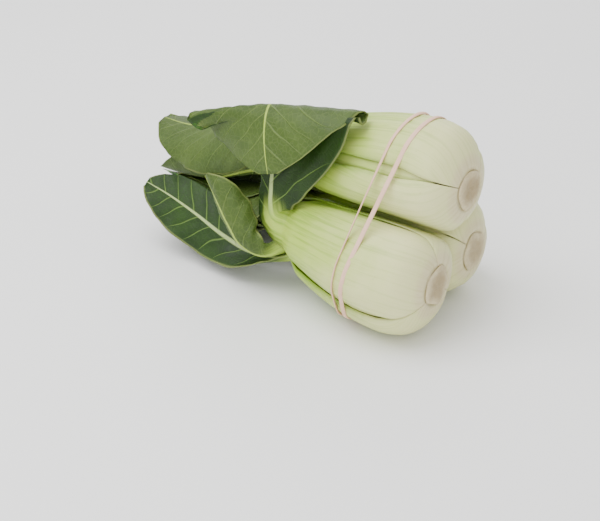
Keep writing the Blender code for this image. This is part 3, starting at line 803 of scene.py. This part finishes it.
def leaf_material(veins, fibres):
    """Pale ribbed stalk that runs into a dark green blade with a paler underside."""
    shader, tree, principled = new_material("bok choy leaf")
    along = attribute(tree, "along")
    breadth = attribute(tree, "breadth")
    across = attribute(tree, "across")
    blade = attribute(tree, "blade")
    half = attribute(tree, "half_width")
    upper = attribute(tree, "upper")
    tone = attribute(tree, "tone")
    vein = use(tree, veins, Along=along, Breadth=breadth, Blade=blade, Half_width=half, Tone=tone)
    fibre = use(tree, fibres, Along=along, Breadth=breadth, Tone=tone)

    lines = step(tree, fibre["Fibres"], 0.46, 0.66)
    greening = step(tree, sums(tree, "MULTIPLY_ADD", fibre["Patches"], 60.0, along), 30.0, 112.0)
    pale = blend(tree, greening, CREAM, STALK_GREEN)
    stalk = blend(tree, sums(tree, "MULTIPLY", lines, sums(tree, "MULTIPLY_ADD", greening, 0.55, 0.12)),
                  pale, FIBRE_GREEN)
    edge = step(tree, sums(tree, "POWER", sums(tree, "ABSOLUTE", across), 3.0), 0.55, 1.0)
    edging = sums(tree, "MULTIPLY", edge, sums(tree, "MULTIPLY", greening, 0.6))
    stalk = blend(tree, edging, stalk, FIBRE_GREEN)
    stalk = blend(tree, sums(tree, "MULTIPLY", fibre["Pits"], 0.10), stalk, BROWN)
    cut = step(tree, along, 2.6, 0.3)
    stalk = blend(tree, sums(tree, "MULTIPLY", cut, 0.75), stalk,
                  blend(tree, fibre["Fibres"], CUT_PALE, CUT_BROWN))

    mottle = sums(tree, "MULTIPLY_ADD", sums(tree, "SUBTRACT", fibre["Patches"], 0.5), 1.6, 0.45, clamp=True)
    top = blend(tree, mottle, UPPER_DARK, UPPER_LIGHT)
    under = blend(tree, mottle, UNDER_DARK, UNDER_LIGHT)
    green = blend(tree, upper, under, top)
    net = sums(tree, "MULTIPLY", vein["Fine net"], 0.20)
    green = blend(tree, net, green, blend(tree, upper, UNDER_VEIN, UPPER_NET))
    side = sums(tree, "MULTIPLY", vein["Side veins"], 0.5)
    green = blend(tree, side, green, blend(tree, upper, UNDER_VEIN, UPPER_VEIN))
    green = blend(tree, sums(tree, "MULTIPLY", vein["Rim"], 0.35), green, RIM)
    midrib = sums(tree, "MULTIPLY", vein["Midrib"], 0.8)
    green = blend(tree, midrib, green, blend(tree, upper, STALK_GREEN, MIDRIB))

    creep = sums(tree, "MULTIPLY", sums(tree, "POWER", sums(tree, "ABSOLUTE", across), 2.0), 16.0)
    drift = sums(tree, "MULTIPLY_ADD", fibre["Fibres"], 10.0, sums(tree, "ADD", along, creep))
    leafy = step(tree, drift, 97.0, 116.0)
    colour = blend(tree, leafy, stalk, green)
    feed(tree, colour, principled.inputs["Base Color"])

    shine = sums(tree, "MULTIPLY_ADD", fibre["Patches"], 0.22, 0.36)
    feed(tree, sums(tree, "MULTIPLY_ADD", leafy, 0.07, shine), principled.inputs["Roughness"])
    raised = sums(tree, "MULTIPLY_ADD", upper, -2.0, 1.0)
    relief = sums(tree, "MULTIPLY_ADD", vein["Fine net"], 0.25, vein["Side veins"])
    relief = sums(tree, "MULTIPLY", relief, raised)
    relief = sums(tree, "MULTIPLY_ADD", vein["Midrib"], 0.9, relief)
    stem_relief = sums(tree, "MULTIPLY", fibre["Fibres"], 0.5)
    stem_relief = sums(tree, "SUBTRACT", stem_relief, sums(tree, "MULTIPLY", fibre["Pits"], 0.15))
    relief = sums(tree, "MULTIPLY_ADD", leafy, sums(tree, "SUBTRACT", relief, stem_relief), stem_relief)
    feed(tree, bump(tree, relief, 0.0004, 0.8), principled.inputs["Normal"])
    principled.inputs["Specular IOR Level"].default_value = 0.3
    principled.inputs["Subsurface Weight"].default_value = 0.12
    principled.inputs["Subsurface Radius"].default_value = (0.6, 1.0, 0.3)
    principled.inputs["Subsurface Scale"].default_value = 0.002
    return shader


def cut_material():
    """The dry cut face of a stem: pale and pithy, browned in the middle and round its rim."""
    shader, tree, principled = new_material("cut stem")
    away = attribute(tree, "away")
    tone = attribute(tree, "tone")
    spot = tree.nodes.new("ShaderNodeTexCoord").outputs["Object"]
    grain = cloud(tree, spot, 420.0, 4.0, 0.6)
    patch = cloud(tree, spot, 90.0, 3.0, 0.55)
    ringed = sums(tree, "MULTIPLY_ADD", patch, 9.0, away)
    brown = step(tree, ringed, 16.0, 9.0)
    face = blend(tree, grain, CUT_PALE, CUT_BROWN)
    face = blend(tree, sums(tree, "MULTIPLY", brown, 0.6), face, BROWN)
    face = blend(tree, sums(tree, "MULTIPLY", step(tree, tone, 0.0, 6.0), 0.15), face, CUT_PALE)
    feed(tree, face, principled.inputs["Base Color"])
    feed(tree, sums(tree, "MULTIPLY_ADD", grain, 0.2, 0.62), principled.inputs["Roughness"])
    feed(tree, bump(tree, sums(tree, "MULTIPLY_ADD", grain, 0.6, patch), 0.0007), principled.inputs["Normal"])
    return shader


def rubber_material():
    """Matte pinkish rubber with a slight lengthwise grain and dusty patches."""
    shader, tree, principled = new_material("band rubber")
    spot = tree.nodes.new("ShaderNodeTexCoord").outputs["Object"]
    run = attribute(tree, "run")
    grain = cloud(tree, spot, 1400.0, 2.0)
    patch = cloud(tree, place(tree, sums(tree, "MULTIPLY", run, 0.05), 0.0, 0.0), 2.5, 2.0)
    colour = blend(tree, patch, RUBBER_DARK, RUBBER_LIGHT)
    colour = blend(tree, sums(tree, "MULTIPLY", grain, 0.35), colour, RUBBER_DUST)
    feed(tree, colour, principled.inputs["Base Color"])
    feed(tree, sums(tree, "MULTIPLY_ADD", grain, 0.2, 0.5), principled.inputs["Roughness"])
    feed(tree, bump(tree, grain, 0.0001, 0.6), principled.inputs["Normal"])
    return shader


def floor_material():
    shader, tree, principled = new_material("pale floor")
    spot = tree.nodes.new("ShaderNodeTexCoord").outputs["Object"]
    haze = cloud(tree, spot, 3.0, 2.0)
    feed(tree, blend(tree, haze, FLOOR_GREY, FLOOR_WHITE), principled.inputs["Base Color"])
    principled.inputs["Roughness"].default_value = 0.7
    return shader


def area_light(name, spot, aim, size, power):
    data = bpy.data.lights.new(name, "AREA")
    data.size = size
    data.energy = power
    lamp = bpy.data.objects.new(name, data)
    lamp.location = spot
    lamp.rotation_euler = (Vector(aim) - Vector(spot)).to_track_quat("-Z", "Y").to_euler()
    bpy.context.collection.objects.link(lamp)


def studio():
    """A pale floor, soft light from above, in front and behind, and the camera."""
    bpy.ops.mesh.primitive_grid_add(x_subdivisions=2, y_subdivisions=2, size=6.0,
                                    location=(0, 0, FLOOR_HEIGHT))
    floor = bpy.context.object
    floor.name = "floor"
    floor.data.materials.append(floor_material())
    for light in LIGHTS:
        area_light(*light)
    world = bpy.data.worlds.new("studio")
    world.use_nodes = True
    world.node_tree.nodes["Background"].inputs["Color"].default_value = (1.0, 1.0, 1.0, 1.0)
    world.node_tree.nodes["Background"].inputs["Strength"].default_value = 1.0
    bpy.context.scene.world = world
    turn, lift = math.radians(CAMERA_TURN), math.radians(CAMERA_LIFT)
    away = Vector((math.sin(turn) * math.cos(lift), -math.cos(turn) * math.cos(lift), math.sin(lift)))
    aim = Vector(CAMERA_AIM)
    data = bpy.data.cameras.new("camera")
    data.sensor_width = 36.0
    data.lens = 36.0 * CAMERA_DISTANCE / CAMERA_SPAN
    data.clip_start = 0.01
    camera = bpy.data.objects.new("camera", data)
    camera.location = aim + away * CAMERA_DISTANCE
    camera.rotation_euler = (-away).to_track_quat("-Z", "Y").to_euler()
    bpy.context.collection.objects.link(camera)
    bpy.context.scene.camera = camera


CREAM = rgb(0.85, 0.85, 0.62)
STALK_GREEN = rgb(0.66, 0.76, 0.30)
FIBRE_GREEN = rgb(0.48, 0.62, 0.16)
BROWN = rgb(0.50, 0.40, 0.22)
CUT_PALE = rgb(0.87, 0.84, 0.70)
CUT_BROWN = rgb(0.72, 0.64, 0.46)
UPPER_DARK = rgb(0.05, 0.13, 0.0)
UPPER_LIGHT = rgb(0.14, 0.26, 0.0)
UPPER_NET = rgb(0.16, 0.29, 0.04)
UPPER_VEIN = rgb(0.44, 0.56, 0.25)
MIDRIB = rgb(0.70, 0.78, 0.50)
UNDER_DARK = rgb(0.19, 0.27, 0.06)
UNDER_LIGHT = rgb(0.30, 0.38, 0.14)
UNDER_VEIN = rgb(0.40, 0.48, 0.23)
RIM = rgb(0.66, 0.70, 0.40)
RUBBER_DARK = rgb(0.83, 0.62, 0.50)
RUBBER_LIGHT = rgb(0.91, 0.76, 0.66)
RUBBER_DUST = rgb(0.93, 0.84, 0.77)
FLOOR_GREY = (0.86, 0.86, 0.85, 1.0)
FLOOR_WHITE = (0.90, 0.90, 0.90, 1.0)
LIGHTS = (                     # name, place, aim, size and power
    ("large light above", (-0.25, -0.35, 1.0), (0, 0, 0.03), 0.9, 15.0),
    ("soft front light", (0.45, -1.1, 0.55), (0, 0, 0.04), 0.9, 6.0),
    ("back light", (-0.5, 0.9, 0.7), (0, 0, 0.05), 0.7, 5.0),
)

CAMERA_TURN = 35.0
CAMERA_LIFT = 28.0
CAMERA_DISTANCE = 0.95
CAMERA_SPAN = 0.333            # width of the view at the aim point, in metres
CAMERA_AIM = (-0.001, 0.0, 0.0013)

leaf_finish = leaf_material(vein_group(), rib_group())
cut_finish = cut_material()
rubber_finish = rubber_material()

for head in HEADS:
    make_core(head)
    layer = 0
    for number, leaf in enumerate(LEAVES[head], start=1):
        make_leaf(head, number, layer)
        if leaf[2] > 0:
            layer += 1
make_band()
studio()
